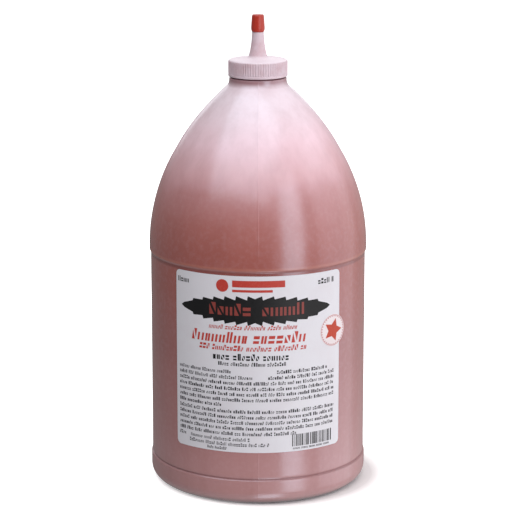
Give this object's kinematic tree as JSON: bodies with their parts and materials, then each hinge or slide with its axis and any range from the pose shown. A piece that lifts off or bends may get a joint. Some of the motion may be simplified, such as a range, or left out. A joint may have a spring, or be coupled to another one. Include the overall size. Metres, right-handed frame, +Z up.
{
  "type": "chalk powder jug",
  "caption": "One-gallon dome-shouldered plastic jug of marking chalk powder with a screw-on spout cap, sealing tip cap and hollow side handle.",
  "frame": {"origin": "centre of the foot, on the surface the jug stands on", "axes": "+Z up along the jug's axis towards the spout; the label faces -Y and the handle is at +Y"},
  "size_m": [0.1524, 0.1524, 0.3293],
  "materials": {
    "jug_plastic": "satin",
    "chalk": "matte",
    "label_paper": "satin",
    "sticker_paper": "satin",
    "liner_foam": "matte",
    "cap_plastic": "satin",
    "tip_plastic": "satin"
  },
  "bodies": {
    "jug_body": {"jug": "jug_plastic", "chalk_powder": "chalk", "front_label": "label_paper", "round_sticker": "sticker_paper"},
    "liner_body": {"cap_liner": "liner_foam"},
    "cap_body": {"spout_cap": "cap_plastic"},
    "tip_body": {"tip_cap": "tip_plastic"}
  },
  "joints": [
    {"name": "cap_lift", "type": "slide", "parent": "jug_body", "child": "liner_body", "axis": [0, 0, 1], "range_m": [0, 0.0128]},
    {"name": "cap_turn", "type": "hinge", "parent": "liner_body", "child": "cap_body", "pos_m": [0, 0, 0.2915], "axis": [0, 0, 1], "range_deg": [0, 1080]},
    {"name": "tip_pull", "type": "slide", "parent": "cap_body", "child": "tip_body", "axis": [0, 0, 1], "range_m": [0, 0.016]}
  ],
  "couplings": [
    {"joint": "cap_lift", "follows": "cap_turn", "m_per_rad": 0.0006737}
  ]
}
